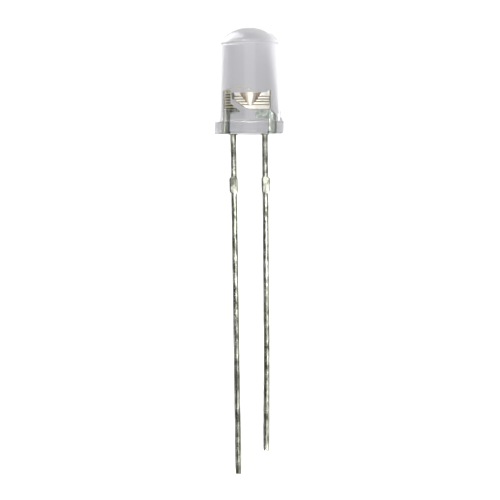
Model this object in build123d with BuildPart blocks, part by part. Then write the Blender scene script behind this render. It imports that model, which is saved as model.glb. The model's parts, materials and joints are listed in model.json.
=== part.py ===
from build123d import *
import os
from math import sqrt

# A water-clear 5 mm round LED lamp with two straight leads, lying on a table as it comes to
# rest: on the edge of its flange and on the tips of both leads. Lengths are in millimetres.
# Heights are counted along the lamp's own axis from the seating plane, which is the underside
# of the flange: the dome is above it and the free leads are below it.

# Epoxy body
total_height = 8.50
body_shoulder_diameter = 4.60
body_root_diameter = 4.88
dome_radius = 2.70
shoulder_round = 0.60
flange_diameter = 5.76
flange_height = 1.00
flat_distance = 2.50
underfill_round = 0.22
ramp_height = 0.50
ramp_width = 0.18
ramp_half_angle = 32.0
seat_rim_width = 0.66
dish_depth = 0.32
meniscus_drop = 0.12
meniscus_width = 0.32
meniscus_skin = 0.03

# Lead frame, stamped from one sheet
frame_offset = -0.10
sheet_thickness = 0.50
lead_pitch = 2.54
lead_width = 0.44
lead_edge_round = 0.12
anode_length = 27.70
cathode_length = 25.80
anode_lean = 0.12
cathode_lean = 0.11
cathode_straight = 18.0
tie_bar_drop = 3.43
tie_bar_height = 1.29
tie_bar_taper = 0.16
tie_bar_inner_stub = 0.06
tie_bar_outer_stub = 0.13

# Anode post
post_height = 3.45
post_width = 0.44
post_foot_height = 1.58
gusset_height = 2.41
gusset_tip_height = 1.80
gusset_lip = 0.12
gusset_reach = 0.54

# Cathode anvil and its reflector cup
anvil_height = 3.22
anvil_near_side = -0.84
anvil_far_side = 1.15
anvil_corner_height = 2.72
anvil_corner_inset = 0.04
anvil_waist_side = -0.22
anvil_waist_height = 2.09
neck_side = 0.38
neck_top = 1.80
neck_base = 1.22
shoulder_height = 1.95
shoulder_foot_height = 1.45
horn_height = 0.20
horn_width = 0.14
cup_rim_diameter = 1.30
cup_mouth_diameter = 1.10
cup_floor_diameter = 0.62
cup_depth = 0.42
cup_root_height = 2.10
cup_root_diameter = 0.35

# Coined grooves across both faces of the sheet
groove_pitch = 0.215
groove_width = 0.18
groove_depth = 0.03
post_groove_low = 1.73
post_groove_high = 3.235
anvil_groove_low = 2.22
anvil_groove_high = 3.08

# Chip, its adhesive and its wire
die_width = 0.30
die_height = 0.17
pad_diameter = 0.11
pad_height = 0.01
attach_diameter = 0.46
attach_thickness = 0.02
wire_diameter = 0.03
ball_diameter = 0.085
ball_height = 0.025
loop_rise = 0.26
loop_neck = 0.62
loop_crest = 0.52
stitch_inset = 0.24
stitch_length = 0.10
stitch_width = 0.06
stitch_height = 0.02

os.makedirs("parts", exist_ok=True)

# The half widths that many profiles share
flange_radius = flange_diameter / 2
body_root_radius = body_root_diameter / 2
body_shoulder_radius = body_shoulder_diameter / 2
half_sheet = sheet_thickness / 2
half_lead = lead_width / 2
anode_centre = -lead_pitch / 2
cathode_centre = lead_pitch / 2
anode_tip = anode_centre + anode_lean
cathode_tip = cathode_centre - cathode_lean

# The table touches the flange's edge and the lower, rounded corner of each tip. The upward
# direction, in the lamp's own axes, is (-skew * slope, -toward_view, slope).
skew = (anode_length - cathode_length) / (cathode_tip - anode_tip)
reach = anode_length + skew * (frame_offset + anode_tip + half_lead - lead_edge_round)
slope = 0.0
for _ in range(12):
    level = sqrt(1 - slope**2)
    flat_drop = (half_sheet - lead_edge_round) * sqrt(1 - (1 + skew**2) * slope**2)
    slope = ((flange_radius - lead_edge_round) * level - flat_drop) / reach
level = sqrt(1 - slope**2)
toward_view = sqrt(1 - (1 + skew**2) * slope**2)

# Where the seating plane's centre stands, so that the origin is on the table under the
# middle of the lamp: half way from the anode's tip to the dome, and half way across the flange.
dome_reach = (total_height - dome_radius) * level + dome_radius
anode_tip_side = frame_offset + anode_tip + half_lead
tip_tilt = slope * (half_sheet * toward_view - slope * skew * anode_tip_side) / level
tip_reach = anode_length * level + tip_tilt
seat_forward = (tip_reach - dome_reach) / 2
flat_turn = skew * slope / level
flat_half_chord = sqrt(flange_radius**2 - flat_distance**2)
flat_side_reach = flat_distance * sqrt(1 - flat_turn**2) + flat_half_chord * flat_turn
seat_sideways = (flange_radius - flat_side_reach) / 2

seat = Plane(
    origin=(seat_sideways, seat_forward, flange_radius * level),
    x_dir=(sqrt(1 - flat_turn**2), skew * slope**2 / level, -skew * slope),
    z_dir=(0, level, slope),
)
front = Plane(origin=seat.origin, x_dir=seat.x_dir, z_dir=-seat.y_dir)
frame_centre = seat.from_local_coords((frame_offset, 0, 0))
frame_front = Plane(origin=frame_centre, x_dir=seat.x_dir, z_dir=-seat.y_dir)
lamp_axis = Axis(seat.origin, seat.z_dir)
sheet_axis = Axis(frame_centre, seat.y_dir)


def side_plane(across):
    """The plane square to the sheet's width, this far across the lead frame."""
    origin = frame_front.from_local_coords((across, 0, 0))
    return Plane(origin=origin, x_dir=seat.y_dir, z_dir=seat.x_dir)


def tie_bar_outline(lead_centre, outward):
    """The sheared stub of the bar that joined the leads: wider than the lead on both sides."""
    top = -tie_bar_drop
    base = top - tie_bar_height
    lead_side = half_lead - tie_bar_taper / 4
    inner = half_lead + tie_bar_inner_stub
    outer = half_lead + tie_bar_outer_stub
    with Locations((lead_centre, 0)):
        Polygon(
            (-outward * lead_side, top),
            (-outward * inner, top - tie_bar_taper),
            (-outward * inner, base + tie_bar_taper),
            (-outward * lead_side, base),
            (outward * lead_side, base),
            (outward * outer, base + tie_bar_taper),
            (outward * outer, top - tie_bar_taper),
            (outward * lead_side, top),
            align=None,
        )


def groove_sections(low, high):
    """Rows of V notches in both faces of the sheet, one below the other between two heights."""
    rows = int((high - low) / groove_pitch + 0.5)
    heights = [high - groove_pitch * (row + 0.5) for row in range(rows)]
    with Locations(*[(0, height) for height in heights]):
        for face in (half_sheet, -half_sheet):
            root = face - groove_depth * face / half_sheet
            Polygon((face, groove_width / 2), (root, 0), (face, -groove_width / 2), align=None)


# Anode lead: the post that takes the wire, its gusset and the longer free lead
post_outer = anode_centre - half_lead
post_inner = post_outer + post_width
stem_inner = anode_centre + half_lead
with BuildPart() as anode_lead:
    with BuildSketch(frame_front):
        with BuildLine():
            Polyline(
                (post_outer, post_height),
                (post_inner, post_height),
                (post_inner, gusset_height),
                (stem_inner + gusset_reach, gusset_tip_height),
                (stem_inner + gusset_reach, gusset_tip_height - gusset_lip),
                (stem_inner, post_foot_height),
                (stem_inner, 0),
                (anode_tip + half_lead, -anode_length),
                (anode_tip - half_lead, -anode_length),
                (post_outer, 0),
                close=True,
            )
        make_face()
        tie_bar_outline(anode_centre + anode_lean * tie_bar_drop / anode_length, -1)
    extrude(amount=half_sheet, both=True)
    sheet_faces = anode_lead.faces().sort_by(sheet_axis)
    sheet_edges = sheet_faces[0].edges() + sheet_faces[-1].edges()
    fillet(sheet_edges.filter_by_position(lamp_axis, -anode_length, 0), lead_edge_round)
    with BuildSketch(side_plane(post_outer)):
        groove_sections(post_groove_low, post_groove_high)
    extrude(amount=lead_width + gusset_reach, mode=Mode.SUBTRACT)
anode_lead.part.label = "anode_lead"

# Cathode lead: the anvil with the reflector cup, its neck and the shorter free lead
with BuildPart() as cathode_lead:
    with BuildSketch(frame_front):
        with BuildLine():
            Polyline(
                (anvil_near_side, anvil_height),
                (anvil_near_side + anvil_corner_inset, anvil_corner_height),
                (anvil_waist_side, anvil_waist_height),
                (neck_side, neck_top),
                (neck_side, neck_base),
                (cathode_centre - half_lead, neck_base),
                (cathode_centre - half_lead, -cathode_straight),
                (cathode_tip - half_lead, -cathode_length),
                (cathode_tip + half_lead, -cathode_length),
                (cathode_centre + half_lead, -cathode_straight),
                (cathode_centre + half_lead, shoulder_foot_height),
                (anvil_far_side, shoulder_height),
                (anvil_far_side, anvil_height + horn_height),
                (anvil_far_side - horn_width, anvil_height),
                close=True,
            )
        make_face()
        tie_bar_outline(cathode_centre, 1)
    extrude(amount=half_sheet, both=True)
    sheet_faces = cathode_lead.faces().sort_by(sheet_axis)
    sheet_edges = sheet_faces[0].edges() + sheet_faces[-1].edges()
    fillet(sheet_edges.filter_by_position(lamp_axis, -cathode_length, 0), lead_edge_round)
    with BuildSketch(side_plane(anvil_near_side)):
        groove_sections(anvil_groove_low, anvil_groove_high)
    extrude(amount=anvil_far_side - anvil_near_side, mode=Mode.SUBTRACT)
    with BuildSketch(front):
        with BuildLine():
            Polyline(
                (0, cup_root_height),
                (cup_root_diameter / 2, cup_root_height),
                (cup_rim_diameter / 2, anvil_height),
                (0, anvil_height),
                close=True,
            )
        make_face()
    revolve(axis=lamp_axis)
    with BuildSketch(front):
        with BuildLine():
            Polyline(
                (0, anvil_height - cup_depth),
                (cup_floor_diameter / 2, anvil_height - cup_depth),
                (cup_mouth_diameter / 2, anvil_height),
                (0, anvil_height),
                close=True,
            )
        make_face()
    revolve(axis=lamp_axis, mode=Mode.SUBTRACT)
cathode_lead.part.label = "cathode_lead"

# Die attach: a thin disc of silver-filled adhesive on the cup's floor
cup_floor = anvil_height - cup_depth
die_base = cup_floor + attach_thickness
with BuildPart() as die_attach:
    with BuildSketch(seat.offset(cup_floor)):
        Circle(attach_diameter / 2)
    extrude(amount=attach_thickness)
die_attach.part.label = "die_attach"

# Die: the sawn chip with its round bond pad
with BuildPart() as led_die:
    with BuildSketch(seat.offset(die_base)):
        Rectangle(die_width, die_width)
    extrude(amount=die_height)
    with BuildSketch(seat.offset(die_base + die_height)):
        Circle(pad_diameter / 2)
    extrude(amount=pad_height)
led_die.part.label = "led_die"

# Bond wire: gold, from a ball on the pad, up and over to a stitch on the post's end
pad_top = die_base + die_height + pad_height
stitch_place = frame_offset + post_outer + stitch_inset
loop_top = post_height + loop_rise
wire_points = [
    (0, pad_top + ball_height / 2),
    (0, pad_top + loop_neck),
    (stitch_place * loop_crest, loop_top),
    (stitch_place, post_height + wire_diameter / 2),
]
wire_radii = [0.30, 0.55]
with BuildPart() as bond_wire:
    with BuildLine(front) as wire_route:
        FilletPolyline(*wire_points, radius=wire_radii)
    with BuildSketch(wire_route.line ^ 0):
        Circle(wire_diameter / 2)
    sweep(path=wire_route.line)
    with BuildSketch(seat.offset(pad_top)):
        Circle(ball_diameter / 2)
    extrude(amount=ball_height)
    with BuildSketch(seat.offset(post_height)):
        with Locations((stitch_place, 0)):
            SlotOverall(stitch_length, stitch_width)
    extrude(amount=stitch_height)
bond_wire.part.label = "bond_wire"

# Epoxy lens: cast round the lead frame in a drafted mould cup, with a flat in its flange on
# the cathode's side. The underside set free, so it is dished inside its rim and climbs each
# lead in a small cone.
dome_edge_height = total_height - dome_radius + sqrt(dome_radius**2 - body_shoulder_radius**2)
rim_inner_radius = flange_radius - seat_rim_width
meniscus_tip_radius = sqrt(half_lead**2 + half_sheet**2) + meniscus_skin
meniscus_base_radius = meniscus_tip_radius + meniscus_width
ramp_start = front.rotated((0, -ramp_half_angle, 0))
with BuildPart() as epoxy_lens:
    with BuildSketch(front) as lens_profile:
        with BuildLine():
            RadiusArc((0, total_height), (body_shoulder_radius, dome_edge_height), dome_radius)
            Polyline(
                (body_shoulder_radius, dome_edge_height),
                (body_root_radius, flange_height),
                (flange_radius, flange_height),
                (flange_radius, 0),
                (rim_inner_radius, 0),
            )
            TangentArc((0, dish_depth), (rim_inner_radius, 0), tangent=(1, 0))
            Line((0, dish_depth), (0, total_height))
        make_face()
        fillet(lens_profile.vertices().sort_by(Axis.Y)[-2], shoulder_round)
    revolve(axis=lamp_axis)
    with BuildSketch(ramp_start):
        Polygon(
            (body_root_radius - ramp_width, flange_height),
            (body_root_radius + ramp_width, flange_height),
            (body_root_radius - ramp_width, flange_height + 2 * ramp_height),
            align=None,
        )
    revolve(axis=lamp_axis, revolution_arc=2 * ramp_half_angle)
    with BuildSketch(seat):
        with Locations((flat_distance, 0)):
            Rectangle(flange_radius, flange_diameter, align=(Align.MIN, Align.CENTER))
    extrude(amount=flange_height + ramp_height, mode=Mode.SUBTRACT)
    flat_edges = epoxy_lens.edges().filter_by(Axis(seat.origin, seat.y_dir))
    fillet(flat_edges.sort_by(lamp_axis)[0], underfill_round)
    for lead_centre in (anode_centre, cathode_centre):
        lead_plane = Plane(
            origin=frame_front.from_local_coords((lead_centre, 0, 0)),
            x_dir=seat.x_dir,
            z_dir=-seat.y_dir,
        )
        with BuildSketch(lead_plane):
            with BuildLine():
                TangentArc(
                    (meniscus_tip_radius, -meniscus_drop),
                    (meniscus_base_radius, dish_depth),
                    tangent=(0, 1),
                )
                Polyline(
                    (meniscus_base_radius, dish_depth),
                    (0, dish_depth * 1.5),
                    (0, -meniscus_drop),
                    (meniscus_tip_radius, -meniscus_drop),
                )
            make_face()
        revolve(axis=Axis(lead_plane.origin, seat.z_dir))
    for inner_piece in (anode_lead, cathode_lead, die_attach, led_die, bond_wire):
        add(inner_piece.part, mode=Mode.SUBTRACT)
epoxy_lens.part.label = "epoxy_lens"

pieces = (epoxy_lens, anode_lead, cathode_lead, led_die, die_attach, bond_wire)
for piece in pieces:
    export_step(piece.part, f"parts/{piece.part.label}.step")
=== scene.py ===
# A water-clear 5 mm LED lamp with two straight leads, lying on a pale table as it comes to rest:
# on the edge of its flange and on the tips of its leads. It is seen from straight above.
import json

import bmesh
import bpy
import numpy as np
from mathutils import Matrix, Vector


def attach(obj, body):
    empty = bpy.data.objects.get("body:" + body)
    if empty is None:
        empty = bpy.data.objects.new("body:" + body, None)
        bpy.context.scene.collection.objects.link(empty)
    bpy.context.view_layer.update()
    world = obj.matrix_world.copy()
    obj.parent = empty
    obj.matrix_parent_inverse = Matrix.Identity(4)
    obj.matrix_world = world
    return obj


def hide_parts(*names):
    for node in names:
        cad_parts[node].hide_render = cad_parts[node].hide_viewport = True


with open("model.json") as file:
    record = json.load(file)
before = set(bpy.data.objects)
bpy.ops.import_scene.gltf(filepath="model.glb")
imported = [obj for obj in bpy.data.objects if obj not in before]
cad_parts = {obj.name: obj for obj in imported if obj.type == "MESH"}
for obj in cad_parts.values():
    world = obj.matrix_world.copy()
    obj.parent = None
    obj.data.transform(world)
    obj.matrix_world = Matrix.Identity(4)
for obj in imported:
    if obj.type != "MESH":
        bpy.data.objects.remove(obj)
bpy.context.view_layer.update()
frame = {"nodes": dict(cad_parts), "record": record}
nodes = frame["nodes"]

# Lead frame: two stampings from one steel strip, side by side. The anode's post takes the wire
# and the cathode's anvil holds the cup. The strip is tinned, and its grooved upper end, where
# the chip and the wire are bonded, is plated with silver, which is given a darker, more olive
# tone on the post.
MM = 0.001
mounts = {mount["name"]: mount for mount in frame["record"]["mounts"]}
rim_mount = mounts["flange_rim"]
flat_mount = mounts["flange_flat"]
pair_mount = mounts["lead_pair"]

# The lamp lies tilted. Its shapes are worked out in mm across it, through its depth and up its own
# axis from the seating plane under the flange, and these three ways are where they point.
lamp_up = np.array(rim_mount["axis"])
lamp_across = np.array(flat_mount["axis"])
lamp_depth = np.cross(lamp_up, lamp_across)
flange_radius = rim_mount["dims"]["r_mm"]
flange_height = rim_mount["dims"]["length_mm"]
seat_centre = np.array(rim_mount["pos_m"]) / MM - lamp_up * flange_height / 2
flat_distance = float((np.array(flat_mount["pos_m"]) / MM - seat_centre) @ lamp_across)
frame_offset = float((np.array(pair_mount["pos_m"]) / MM - seat_centre) @ lamp_across)

# The silver starts at this height, and the post ends at this place across the lamp.
silver_height = 1.96
silver_fade = 0.04
post_reach = -0.95

# Faces are told apart by how far their normals lean: the upper flanks of the grooves up the lamp,
# the outside of the cup down it, and the sheared edges and the cup's sides across it. The painted
# shade on the flanks is full on the post and weaker on the anvil.
flank_lean = 0.316
flank_near = 0.08
flank_far = 0.14
cup_lean_low = -0.36
cup_lean_high = -0.40
cup_side_low = 0.15
cup_side_high = 0.65
edge_lean_low = 0.2
edge_lean_high = 0.6
post_flank_shade = 1.0
anvil_flank_shade = 0.75

# Noise stays near its middle, so tones and gloss are spread over this part of its range.
noise_low = 0.3
noise_high = 0.7


def add_node(owner, kind, **settings):
    """One node of a material, a light or the world, with its sockets and properties set by name.
    A socket takes a plain value or another node's output."""
    node = owner.node_tree.nodes.new(kind)
    for key, value in settings.items():
        socket = key.replace("_", " ").title()
        if socket not in node.inputs:
            setattr(node, key, value)
        elif isinstance(value, bpy.types.NodeSocket):
            owner.node_tree.links.new(value, node.inputs[socket])
        else:
            node.inputs[socket].default_value = value
    return node


def new_material(name):
    """An empty node material."""
    material = bpy.data.materials.new(name)
    material.use_nodes = True
    material.node_tree.nodes.clear()
    return material


def place_on(material):
    """Where a point is on its piece, in metres: its object coordinates."""
    return add_node(material, "ShaderNodeTexCoord").outputs["Object"]


def noise_over(owner, place, scale, detail):
    """Soft noise from 0 to 1, with so many lumps to the metre and so many finer layers."""
    noise = add_node(owner, "ShaderNodeTexNoise", vector=place, scale=scale, detail=detail)
    return noise.outputs["Fac"]


def two_tones(owner, share, dark, light, low=0.0, high=1.0):
    """A colour that goes from a dark to a light tone as the share goes from low to high."""
    ramp = add_node(owner, "ShaderNodeValToRGB", fac=share)
    for stop, position, tone in ((0, low, dark), (1, high, light)):
        ramp.color_ramp.elements[stop].position = position
        ramp.color_ramp.elements[stop].color = (*tone, 1)
    return ramp.outputs["Color"]


def spread_over(owner, value, low, high, to_low=0.0, to_high=1.0, way="LINEAR"):
    """A value carried over from one range to another, in a straight line or smoothly."""
    spread = add_node(
        owner, "ShaderNodeMapRange", interpolation_type=way, value=value,
        from_min=low, from_max=high, to_min=to_low, to_max=to_high,
    )
    return spread.outputs["Result"]


def blend_of(owner, share, first, second, data_type="RGBA", blend_type="MIX"):
    """A mix of two colours or numbers, from the first at a share of 0 to the second at 1."""
    blend = add_node(
        owner, "ShaderNodeMix", data_type=data_type, blend_type=blend_type,
        factor=share, a=first, b=second,
    )
    return blend.outputs["Result"]


def length_along(owner, vector, way):
    """How far a place or a normal reaches along one of the lamp's ways: their dot product."""
    along = add_node(owner, "ShaderNodeVectorMath", operation="DOT_PRODUCT", vector=vector)
    along.inputs[1].default_value = way
    return along.outputs["Value"]


def distance_from(owner, value, middle):
    """How far a value is from a middle, on either side: the size of their difference."""
    apart = add_node(owner, "ShaderNodeMath", operation="SUBTRACT", value=value)
    apart.inputs[1].default_value = middle
    size = add_node(owner, "ShaderNodeMath", operation="ABSOLUTE", value=apart.outputs["Value"])
    return size.outputs["Value"]


def share_along(owner, place, way, low, high):
    """How far a point lies along one of the lamp's ways, in mm, from 0 at low to 1 at high."""
    start = float(seat_centre @ way)
    along = length_along(owner, place, way)
    return spread_over(owner, along, (start + low) * MM, (start + high) * MM, way="SMOOTHSTEP")


def bumped(owner, height, strength, distance):
    """A normal that follows fine unevenness, whose full height is the distance in metres."""
    bump = add_node(owner, "ShaderNodeBump", strength=strength, distance=distance, height=height)
    return bump.outputs["Normal"]


def dress(name, material):
    """Gives a CAD node this material alone."""
    nodes[name].data.materials.clear()
    nodes[name].data.materials.append(material)


strip = new_material("plated_strip")
place = place_on(strip)
mottle = noise_over(strip, place, 4200.0, 4.0)
grain = noise_over(strip, place, 16000.0, 3.0)
silver = share_along(strip, place, lamp_up, silver_height - silver_fade, silver_height + silver_fade)
on_anvil = share_along(strip, place, lamp_across, post_reach - silver_fade, post_reach + silver_fade)

tin_tone = two_tones(strip, mottle, (0.24, 0.27, 0.235), (0.54, 0.58, 0.52), noise_low, noise_high)
# the silver is darker and more olive on the post than on the anvil
darker_post_tone = two_tones(strip, mottle, (0.44, 0.40, 0.27), (0.76, 0.72, 0.50), noise_low, noise_high)
anvil_tone = two_tones(strip, mottle, (0.84, 0.79, 0.67), (0.93, 0.90, 0.80), noise_low, noise_high)
silver_tone = blend_of(strip, on_anvil, darker_post_tone, anvil_tone)
plate_tone = blend_of(strip, silver, tin_tone, silver_tone)

# Painted light, chosen by which way faces lean: painted shade on the sheared edges, a painted
# reflection on the outside of the cup that goes from cream to warm tan towards its sides, and
# painted shade on the upper flanks of the grooves.
facing = add_node(strip, "ShaderNodeNewGeometry").outputs["True Normal"]
sideways = distance_from(strip, length_along(strip, facing, lamp_across), 0.0)
upwards = length_along(strip, facing, lamp_up)
# painted shade: faces that lean across the lamp are darkened to a near black
edge_shade_share = spread_over(strip, sideways, edge_lean_low, edge_lean_high)
edge_shaded_tone = blend_of(strip, edge_shade_share, plate_tone, (0.20, 0.19, 0.15, 1))
# painted reflection: the outside of the cup goes from cream to warm tan as its faces turn sideways
on_cup = spread_over(strip, upwards, cup_lean_low, cup_lean_high)
cup_reflection_tone = two_tones(
    strip, sideways, (0.92, 0.88, 0.76), (0.66, 0.52, 0.38), cup_side_low, cup_side_high
)
tone_with_painted_light = blend_of(strip, on_cup, edge_shaded_tone, cup_reflection_tone)
# painted shade: the upper flanks of the grooves are darkened, fully on the post and less on the anvil
off_flank = distance_from(strip, upwards, flank_lean)
flank_shade_tone = two_tones(strip, off_flank, (0.10, 0.09, 0.05), (1, 1, 1), flank_near, flank_far)
flank_shade_strength = spread_over(strip, on_anvil, 0, 1, post_flank_shade, anvil_flank_shade)
tin_rough = spread_over(strip, grain, noise_low, noise_high, 0.14, 0.30)
silver_rough = spread_over(strip, grain, noise_low, noise_high, 0.34, 0.42)
metal = add_node(
    strip, "ShaderNodeBsdfPrincipled", metallic=1.0,
    base_color=blend_of(strip, flank_shade_strength, tone_with_painted_light, flank_shade_tone, blend_type="MULTIPLY"),
    roughness=blend_of(strip, silver, tin_rough, silver_rough, data_type="FLOAT"),
    normal=bumped(strip, mottle, 0.10, 0.000006),
)
add_node(strip, "ShaderNodeOutputMaterial", surface=metal.outputs["BSDF"])
dress("anode_lead", strip)
dress("cathode_lead", strip)

# Solder coat: each free lead is dipped in tin after moulding, which crowns its faces, rounds its
# sheared corners and fills the steps at the stubs of the tie bar. It is a thin wavy sleeve from
# inside the resin's meniscus to the cut end, where the cutter has drawn it down to a skin.
lead_pitch = 2.54
half_lead = 0.22
half_sheet = 0.25
anode_length = 27.70
cathode_length = 25.80
anode_lean = 0.12
cathode_lean = 0.11
cathode_straight = 18.0
tie_bar_drop = 3.43
tie_bar_height = 1.29
tie_bar_taper = 0.16
tie_bar_inner_stub = 0.06
tie_bar_outer_stub = 0.13
coat_side = 0.024
coat_crown = 0.058
coat_top = 0.10
coat_fill = 0.10
coat_row = 0.045
coat_sides = 40

# How square the sleeve is: 2 is an ellipse, and more is nearer to the bare strip's corners
coat_roundness = 2.3
cut_roundness = 4.2
stub_roundness = 6.0

# The cut end: the skin left there, how far up the coat thins, and how its last rows close it
cut_coat = 0.003
cut_fade = 1.6
cut_round = 0.06
cut_narrowing = 0.20
cut_rings = (0.15, 0.45, 0.75)

# The coat's unevenness: its height, its number of waves, and how many go to a mm and to a turn
coat_wave = 0.004
wave_count = 12
waves_per_mm = (0.4, 3.2)
waves_per_turn = (0, 4)


def lay_down(across, depth, up):
    """Points in metres where the lamp lies: the seat's centre plus each length along its way."""
    ways = across[..., None] * lamp_across + depth[..., None] * lamp_depth + up[..., None] * lamp_up
    return (seat_centre + ways) * MM


def closed_surface(name, points, low_pole, high_pole):
    """A closed skin over a grid of rings: rows run from pole to pole, columns run round and meet."""
    rows, columns = points.shape[:2]
    corners = np.concatenate([points.reshape(-1, 3), [low_pole, high_pole]])
    here = np.arange(rows * columns).reshape(rows, columns)
    beside = np.roll(here, -1, axis=1)
    quads = np.stack([here[:-1], beside[:-1], beside[1:], here[1:]], axis=-1).reshape(-1, 4)
    low = np.stack([np.full(columns, rows * columns), beside[0], here[0]], axis=-1)
    high = np.stack([np.full(columns, rows * columns + 1), here[-1], beside[-1]], axis=-1)
    mesh = bpy.data.meshes.new(name)
    mesh.from_pydata(corners.tolist(), [], quads.tolist() + low.tolist() + high.tolist())
    mesh.polygons.foreach_set("use_smooth", np.ones(len(mesh.polygons), bool))
    piece = bpy.data.objects.new(name, mesh)
    bpy.context.scene.collection.objects.link(piece)
    return piece


def eased(share):
    """A share from 0 to 1 that starts and ends gently: three squares less two cubes of it."""
    share = np.clip(share, 0, 1)
    return share**2 * (3 - 2 * share)


def waves(along, around, seed):
    """Smooth unevenness from -1 to 1: the mean of sine waves along a lead and round it, with
    random lengths and phases."""
    draw = np.random.default_rng(seed)
    total = np.zeros(np.broadcast(along, around).shape)
    for _ in range(wave_count):
        per_mm = draw.uniform(*waves_per_mm)
        turns = draw.integers(*waves_per_turn)
        phase = draw.uniform(0, 2 * np.pi)
        total += np.sin(2 * np.pi * per_mm * along + turns * around + phase) / wave_count
    return total


def coat_sleeve(name, centre, length, outward, seed):
    """A sleeve of rounded squares: at each height, across and depth go round by signed powers of
    the cosine and sine, times the half widths there. Towards the cut end the sleeve thins and its
    corners sharpen to the bare strip's, and the last rows shrink to close it."""
    up = np.linspace(-length, coat_top, int((length + coat_top) / coat_row))
    drop = -up
    into_stub = (drop - tie_bar_drop + coat_fill) / tie_bar_taper
    out_of_stub = (tie_bar_drop + tie_bar_height - drop) / tie_bar_taper
    in_stub = eased(np.minimum(into_stub, out_of_stub))
    right_stub = tie_bar_outer_stub if outward > 0 else tie_bar_inner_stub
    left_stub = tie_bar_outer_stub if outward < 0 else tie_bar_inner_stub
    full = eased((length - drop) / cut_fade)
    coat = cut_coat + (coat_side - cut_coat) * full
    right = half_lead + coat + right_stub * in_stub
    left = half_lead + coat + left_stub * in_stub
    deep = half_sheet + cut_coat + (coat_crown - cut_coat) * full
    squareness = cut_roundness + (coat_roundness - cut_roundness) * full
    power = 2 / (squareness + (stub_roundness - squareness) * in_stub)
    cut = np.clip((length - drop) / cut_round, 0, 1)
    narrowing = 1 - cut_narrowing + cut_narrowing * np.sqrt(1 - (1 - cut) ** 2)

    # rings inside the lowest row, each a share as wide as it, close the flat of the cut end
    extra = len(cut_rings)
    up = np.concatenate([np.full(extra, -length), up])[:, None]
    narrowing = np.concatenate([np.array(cut_rings) * narrowing[0], narrowing])[:, None]
    right, left, deep, power, full = (
        np.concatenate([np.full(extra, row[0]), row])[:, None] for row in (right, left, deep, power, full)
    )
    angle = np.linspace(0, 2 * np.pi, coat_sides + 1)[None, :-1]
    cosine = np.sign(np.cos(angle)) * np.abs(np.cos(angle)) ** power
    sine = np.sign(np.sin(angle)) * np.abs(np.sin(angle)) ** power
    side = np.where(cosine > 0, right, left)
    uneven = 1 + full * coat_wave / half_lead * waves(up, angle, seed)
    across = centre(-up) + side * cosine * narrowing * uneven
    depth = deep * sine * narrowing * uneven
    up = np.repeat(up - cut_coat * (up < -length + cut_round), coat_sides, axis=1)
    middle = centre(np.array([length, -coat_top]))
    poles = lay_down(middle, np.zeros(2), np.array([-length - cut_coat, coat_top]))
    return closed_surface(name, lay_down(across, depth, up), poles[0], poles[1])


def anode_line(drop):
    """The anode's middle, across the lamp, at a drop below the seat: it leans in evenly."""
    return frame_offset - lead_pitch / 2 + anode_lean * np.clip(drop, 0, None) / anode_length


def cathode_line(drop):
    """The cathode's middle at a drop below the seat: straight, then leaning in to its tip."""
    bent = np.clip((drop - cathode_straight) / (cathode_length - cathode_straight), 0, 1)
    return frame_offset + lead_pitch / 2 - cathode_lean * bent


# The tin lies in long dull and bright streaks, and its sides get painted shade.
streak_scale = (1.0, 0.45, 1.0)
streak_low = 0.36
streak_high = 0.64
side_lean_low = 0.62
side_lean_high = 0.92
solder = new_material("dipped_tin")
place = place_on(solder)
stretched = add_node(solder, "ShaderNodeMapping", vector=place, scale=streak_scale).outputs["Vector"]
mottle = noise_over(solder, stretched, 2600.0, 5.0)
grain = noise_over(solder, place, 12000.0, 3.0)
face_tone = two_tones(solder, mottle, (0.20, 0.21, 0.17), (0.84, 0.85, 0.74), streak_low, streak_high)
facing = add_node(solder, "ShaderNodeNewGeometry").outputs["True Normal"]
sideways = distance_from(solder, length_along(solder, facing, lamp_across), 0.0)
# painted shade: faces of the leads that lean across the lamp are darkened
shaded_side = spread_over(solder, sideways, side_lean_low, side_lean_high)
metal = add_node(
    solder, "ShaderNodeBsdfPrincipled", metallic=1.0, specular_tint=(0.30, 0.30, 0.28, 1),
    base_color=blend_of(solder, shaded_side, face_tone, (0.10, 0.10, 0.085, 1)),
    roughness=spread_over(solder, grain, noise_low, noise_high, 0.14, 0.30),
    normal=bumped(solder, mottle, 0.6, 0.000010),
)
add_node(solder, "ShaderNodeOutputMaterial", surface=metal.outputs["BSDF"])
for name, line, length, outward, seed in (
    ("anode_coat", anode_line, anode_length, -1, 3),
    ("cathode_coat", cathode_line, cathode_length, 1, 8),
):
    coat = coat_sleeve(name, line, length, outward, seed)
    coat.data.materials.append(solder)
    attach(coat, "root")

# Chip: a cube sawn from a crystal of gallium phosphide, with a round gold pad on top. It is the
# CAD node, whose finish turns to gold above the crystal.
chip_top = 2.99
gold_low = 0.002
gold_high = 0.004
crystal = new_material("sawn_crystal")
place = place_on(crystal)
saw_marks = noise_over(crystal, place, 30000.0, 3.0)
sawn_tone = two_tones(crystal, saw_marks, (0.40, 0.26, 0.12), (0.70, 0.52, 0.30))
golden = share_along(crystal, place, lamp_up, chip_top + gold_low, chip_top + gold_high)
shader = add_node(
    crystal, "ShaderNodeBsdfPrincipled", metallic=golden, roughness=0.35,
    base_color=blend_of(crystal, golden, sawn_tone, (0.95, 0.70, 0.32, 1)),
)
add_node(crystal, "ShaderNodeOutputMaterial", surface=shader.outputs["BSDF"])
dress("led_die", crystal)

# Die attach: resin filled with silver flakes, dotted on the cup's floor. The chip is set down on
# it, squeezes it out to a thin disc, and is held when it has cured. It is the CAD node.
paste = new_material("silver_paste")
place = place_on(paste)
flakes = add_node(paste, "ShaderNodeTexVoronoi", vector=place, scale=45000.0).outputs["Distance"]
shader = add_node(
    paste, "ShaderNodeBsdfPrincipled", metallic=0.8, roughness=0.45,
    base_color=two_tones(paste, flakes, (0.50, 0.49, 0.46), (0.86, 0.85, 0.82)),
)
add_node(paste, "ShaderNodeOutputMaterial", surface=shader.outputs["BSDF"])
dress("die_attach", paste)

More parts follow.
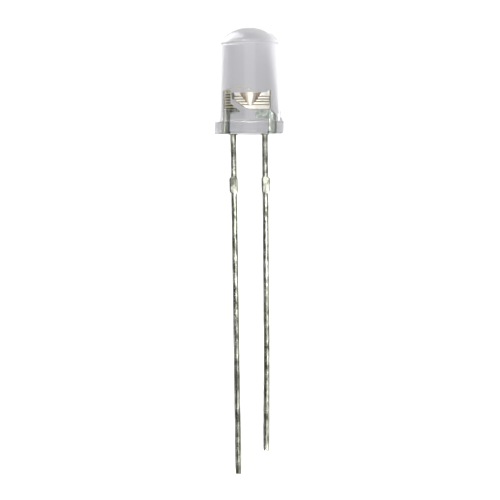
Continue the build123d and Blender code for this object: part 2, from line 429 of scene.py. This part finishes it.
# Bond wire: fine drawn gold, welded with heat and sound. It goes from a ball on the chip's pad,
# over the cup's rim, to a flattened stitch on the post. It is the CAD node.
gold = new_material("drawn_gold")
place = place_on(gold)
draw_marks = noise_over(gold, place, 20000.0, 2.0)
shader = add_node(
    gold, "ShaderNodeBsdfPrincipled", metallic=1.0,
    base_color=two_tones(gold, draw_marks, (0.90, 0.62, 0.26), (1.0, 0.80, 0.42), noise_low, noise_high),
    roughness=spread_over(gold, draw_marks, noise_low, noise_high, 0.16, 0.30),
)
add_node(gold, "ShaderNodeOutputMaterial", surface=shader.outputs["BSDF"])
dress("bond_wire", gold)

# Epoxy lens: one casting of clear resin round the lead frame. Its dome is a shallow cap, its
# barrel is drafted, its flange has a flat on the cathode's side with an underfilled corner, and
# its underside, which set free, is dished and climbs each lead.
total_height = 8.50
dome_radius = 2.70
dome_start = 89
shoulder_radius = 2.30
shoulder_round = 0.60
root_radius = 2.44
root_round = 0.05
flange_edge = 0.05
underfill_round = 0.22
ramp_height = 0.50
ramp_width = 0.18
ramp_half_angle = 32.0
ramp_blend = 0.22
wall_draw_in = 0.01
seat_rim_width = 0.66
rim_inner_radius = flange_radius - seat_rim_width
dish_depth = 0.32
dish_rings = 84
dish_inner_ring = 0.03
meniscus_drop = 0.05
meniscus_tip_radius = 0.31
meniscus_width = 0.40
meniscus_power = 2.5
lens_sides = 384
flat_sector = np.pi / 3
hair = 0.001
merge_distance = 1e-8


def arc(centre, radius, start, end, steps):
    """Points on a circle between two angles in degrees, as distance out and height."""
    angle = np.radians(np.linspace(start, end, steps))
    return np.stack([centre[0] + radius * np.cos(angle), centre[1] + radius * np.sin(angle)], axis=-1)


def slope(start, end, steps):
    """Points on a straight line between two places, without its first."""
    share = np.linspace(0, 1, steps + 1)[1:, None]
    return np.array(start) * (1 - share) + np.array(end) * share


# The shoulder's round touches the dome's circle and the drafted wall, both from inside: its
# centre is as far inside the wall as it is round, and that much nearer to the dome's centre.
dome_centre = total_height - dome_radius
dome_edge = dome_centre + np.sqrt(dome_radius**2 - shoulder_radius**2)
draft = np.arctan((root_radius - shoulder_radius) / (dome_edge - flange_height))
wall_normal = np.array([np.cos(draft), np.sin(draft)])
wall_way = np.array([-wall_normal[1], wall_normal[0]])
wall_reach = np.array([shoulder_radius, dome_edge]) @ wall_normal - shoulder_round
toward_wall = wall_reach - dome_centre * wall_normal[1]
up_wall = np.sqrt((dome_radius - shoulder_round) ** 2 - toward_wall**2)
round_centre = np.array([0, dome_centre]) + toward_wall * wall_normal + up_wall * wall_way
dome_angle = np.degrees(np.arctan2(round_centre[1] - dome_centre, round_centre[0]))
ramp_top = flange_height + ramp_height
above_ramp = (root_radius - wall_draw_in, ramp_top)
wall_foot = root_radius + root_round
edge_start = flange_radius - flange_edge
profile = np.concatenate([
    arc((0, dome_centre), dome_radius, dome_start, dome_angle, steps=36),
    arc(round_centre, shoulder_round, dome_angle, np.degrees(draft), steps=12)[1:],
    slope(round_centre + shoulder_round * wall_normal, above_ramp, steps=10),
    slope(above_ramp, (root_radius, flange_height + root_round), steps=14),
    arc((wall_foot, flange_height + root_round), root_round, 180, 270, steps=5)[1:],
    slope((wall_foot, flange_height), (edge_start, flange_height), steps=6),
    arc((edge_start, flange_height - flange_edge), flange_edge, 90, 0, steps=6)[1:],
    slope((flange_radius, flange_height - flange_edge), (flange_radius, flange_edge), steps=22),
    arc((edge_start, flange_edge), flange_edge, 0, -90, steps=6)[1:],
    slope((edge_start, 0), (rim_inner_radius, 0), steps=5),
])
flat_corner = np.arccos(flat_distance / flange_radius)
around = np.linspace(-np.pi, np.pi, lens_sides + 1)[:-1]
around = np.unique(np.concatenate([around, [-flat_corner, flat_corner]]))
out, up = (np.repeat(profile[:, i, None], len(around), axis=1) for i in (0, 1))

# The ramp over the flat leans on the barrel, and the flat and its underfilled lower corner cut
# the flange and the ramp.
on_ramp = eased((np.radians(ramp_half_angle) - np.abs(around)) / ramp_blend)
leaning = root_radius + ramp_width - ramp_width / ramp_height * (up - flange_height)
raised = (up > flange_height - hair) & (up < ramp_top) & (out < root_radius + ramp_width)
out = np.where(raised, np.maximum(out, out + (leaning - out) * on_ramp), out)
corner_depth = np.clip(underfill_round - up, 0, underfill_round)
limit = flat_distance - underfill_round + np.sqrt(underfill_round**2 - corner_depth**2)
faces_flat = (np.abs(around) < flat_sector) & (up < ramp_top + hair)
out = np.where(faces_flat, np.minimum(out, limit / np.cos(np.where(faces_flat, around, 0))), out)

# The underside: rings from the rim to the middle, on a shallow sphere, pulled down in an arc
# round each lead.
ring = np.linspace(rim_inner_radius, dish_inner_ring, dish_rings)[1:]
ring = np.repeat(ring[:, None], len(around), axis=1)
dish_radius = (rim_inner_radius**2 + dish_depth**2) / (2 * dish_depth)
dish = dish_depth - dish_radius + np.sqrt(dish_radius**2 - ring**2)
for lead_centre in (frame_offset - lead_pitch / 2, frame_offset + lead_pitch / 2):
    near = np.hypot(ring * np.cos(around) - lead_centre, ring * np.sin(around))
    share = np.clip((near - meniscus_tip_radius) / meniscus_width, 0, 1)
    climb = (1 - share) ** meniscus_power
    dish = dish - (dish + meniscus_drop) * climb
out = np.concatenate([out, ring])
up = np.concatenate([up, dish])
skin = lay_down(out * np.cos(around), out * np.sin(around), up)
poles = lay_down(np.zeros(2), np.zeros(2), np.array([dish_depth, total_height]))
lens = closed_surface("clear_lens", skin[::-1], poles[0], poles[1])

# where the flat swallows rows of the grid, their points meet and are merged
shell = bmesh.new()
shell.from_mesh(lens.data)
bmesh.ops.remove_doubles(shell, verts=shell.verts, dist=merge_distance)
shell.to_mesh(lens.data)
shell.free()

# Clear resin bends the view through it, and to the lamps it is a plain pale filter.
resin_index = 1.53
epoxy = new_material("clear_epoxy")
place = place_on(epoxy)
ripple = noise_over(epoxy, place, 500.0, 1.0)
glass = add_node(
    epoxy, "ShaderNodeBsdfPrincipled", base_color=(0.77, 0.77, 0.80, 1), roughness=0.02,
    transmission_weight=1.0, normal=bumped(epoxy, ripple, 0.5, 0.000003),
)
glass.inputs["IOR"].default_value = resin_index
clear = add_node(epoxy, "ShaderNodeBsdfTransparent", color=(0.34, 0.34, 0.35, 1))
to_lamps = add_node(epoxy, "ShaderNodeLightPath").outputs["Is Shadow Ray"]
resin = add_node(epoxy, "ShaderNodeMixShader", fac=to_lamps)
epoxy.node_tree.links.new(glass.outputs["BSDF"], resin.inputs[1])
epoxy.node_tree.links.new(clear.outputs["BSDF"], resin.inputs[2])
add_node(epoxy, "ShaderNodeOutputMaterial", surface=resin.outputs["Shader"])
lens.data.materials.append(epoxy)
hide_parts("epoxy_lens")
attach(lens, "root")

# Table: a wide sheet of pale card under the lamp. The viewer, metal and glass see it white, and
# it keeps the lamp's soft shadow.
table_size = 1.6
table_drop = 0.00001
bpy.ops.mesh.primitive_plane_add(size=table_size, location=(0, 0, -table_drop))
table = bpy.context.object
table.name = "table"
card = new_material("pale_card")
matte = add_node(card, "ShaderNodeBsdfDiffuse", color=(0.82, 0.82, 0.82, 1))
glow = add_node(card, "ShaderNodeEmission", strength=0.47)
path = add_node(card, "ShaderNodeLightPath")
seen = path.outputs["Is Camera Ray"]
for ray in ("Is Glossy Ray", "Is Transmission Ray"):
    either = add_node(card, "ShaderNodeMath", operation="MAXIMUM", value=seen)
    card.node_tree.links.new(path.outputs[ray], either.inputs[1])
    seen = either.outputs["Value"]
lit = add_node(card, "ShaderNodeAddShader")
whiter = add_node(card, "ShaderNodeMixShader", fac=seen)
for shader, socket in (
    (matte, lit.inputs[0]),
    (glow, lit.inputs[1]),
    (matte, whiter.inputs[1]),
    (lit, whiter.inputs[2]),
):
    card.node_tree.links.new(shader.outputs[0], socket)
add_node(card, "ShaderNodeOutputMaterial", surface=whiter.outputs["Shader"])
table.data.materials.append(card)

# Studio: walls that are pale low down and dim above, and seven soft boxes whose light fades out
# at their edges. Each box is placed by its bearing, counted from the right of the picture towards
# the top, and its height. Some only light the lamp, and some only show in what is polished.
pale_wall = 0.85
dim_wall = 0.09
pale_wall_height = 0.10
dim_wall_height = 0.30
room = bpy.data.worlds.new("room")
bpy.context.scene.world = room
room.use_nodes = True
backing = room.node_tree.nodes["Background"]
backing.inputs["Color"].default_value = (1, 1, 1, 1)
direction = add_node(room, "ShaderNodeTexCoord").outputs["Generated"]
upward = add_node(room, "ShaderNodeSeparateXYZ", vector=direction).outputs["Z"]
walls = spread_over(room, upward, pale_wall_height, dim_wall_height, pale_wall, dim_wall)
room.node_tree.links.new(walls, backing.inputs["Strength"])

# The boxes stand round the middle of the body, at their distances from it in metres.
body_middle = np.array([0, 0.0135, 0.003])

# A box's face runs from 0 to 1 each way. It is dark at the first distance from its middle and at
# its brightest within the second.
face_middle = 0.5
face_dark = 0.5
face_bright = 0.22


def soft_box(name, bearing, height, distance, wide, tall, brightness, colour=(1, 1, 1), **seen_by):
    """A lamp at a bearing and height in degrees, as wide and tall in degrees as it is seen from
    the lens, and this many times as bright as white card: power is brightness times pi times area.
    Further settings hide it from one kind of ray."""
    turn, lift = np.radians([bearing, height])
    way = np.array([np.cos(lift) * np.cos(turn), np.cos(lift) * np.sin(turn), np.sin(lift)])
    light = bpy.data.lights.new(name, "AREA")
    light.shape = "RECTANGLE"
    light.size = 2 * distance * np.tan(np.radians(wide / 2))
    light.size_y = 2 * distance * np.tan(np.radians(tall / 2))
    light.energy = brightness * np.pi * light.size * light.size_y
    light.color = colour
    light.use_nodes = True
    spot = add_node(light, "ShaderNodeNewGeometry").outputs["Parametric"]
    axes = add_node(light, "ShaderNodeSeparateXYZ", vector=spot)
    across, along = (
        spread_over(light, distance_from(light, axis, face_middle), face_dark, face_bright, way="SMOOTHSTEP")
        for axis in (axes.outputs["X"], axes.outputs["Y"])
    )
    both = add_node(light, "ShaderNodeMath", operation="MULTIPLY", value=across)
    light.node_tree.links.new(along, both.inputs[1])
    light.node_tree.links.new(both.outputs["Value"], light.node_tree.nodes["Emission"].inputs["Strength"])
    box = bpy.data.objects.new(name, light)
    box.location = body_middle + distance * way
    box.rotation_euler = Vector(way).to_track_quat("Z", "Y").to_euler()
    for rays, on in seen_by.items():
        setattr(box, rays, on)
    bpy.context.scene.collection.objects.link(box)


# name, bearing, height, distance, width, tallness and brightness of each box
soft_box("near_box", 303, 54, 0.25, 26, 30, 10.5, visible_glossy=False)
soft_box("left_box", 204, 50, 0.045, 24, 22, 44.0, visible_glossy=False)
soft_box("low_box", 266, 30, 0.25, 30, 26, 11.0, (1.0, 0.97, 0.90))
soft_box("high_box", 90, 88, 0.25, 56, 50, 1.4)
soft_box("far_box", 124, 57, 0.25, 16, 18, 7.0, visible_diffuse=False)
soft_box("dome_box", 300, 50, 0.030, 18, 18, 6.0, visible_diffuse=False)
soft_box("lead_box", 318, 55, 0.25, 50, 26, 1.8, visible_diffuse=False)

# Camera: straight above the middle of the lamp, and turned by half a degree as in the photograph.
# Its angle comes from half the picture's width and its focal length, both in pixels.
camera_height = 0.080
camera_right = 0.000019
camera_forward = 0.00036
camera_turn = 0.54
frame_half_width = 250
focal_pixels = 969
camera_data = bpy.data.cameras.new("camera")
camera_data.sensor_fit = "HORIZONTAL"
camera_data.angle = 2 * np.arctan(frame_half_width / focal_pixels)
camera_data.clip_start = 0.001
camera_data.clip_end = 10
camera = bpy.data.objects.new("camera", camera_data)
camera.location = (camera_right, camera_forward, camera_height)
camera.rotation_euler = (0, 0, -np.radians(camera_turn))
bpy.context.scene.collection.objects.link(camera)
bpy.context.scene.camera = camera
bpy.context.scene.view_settings.view_transform = "Standard"

# lamps light the table through the resin as its shadow colour says, without noisy hot spots
bpy.context.scene.cycles.caustics_refractive = False
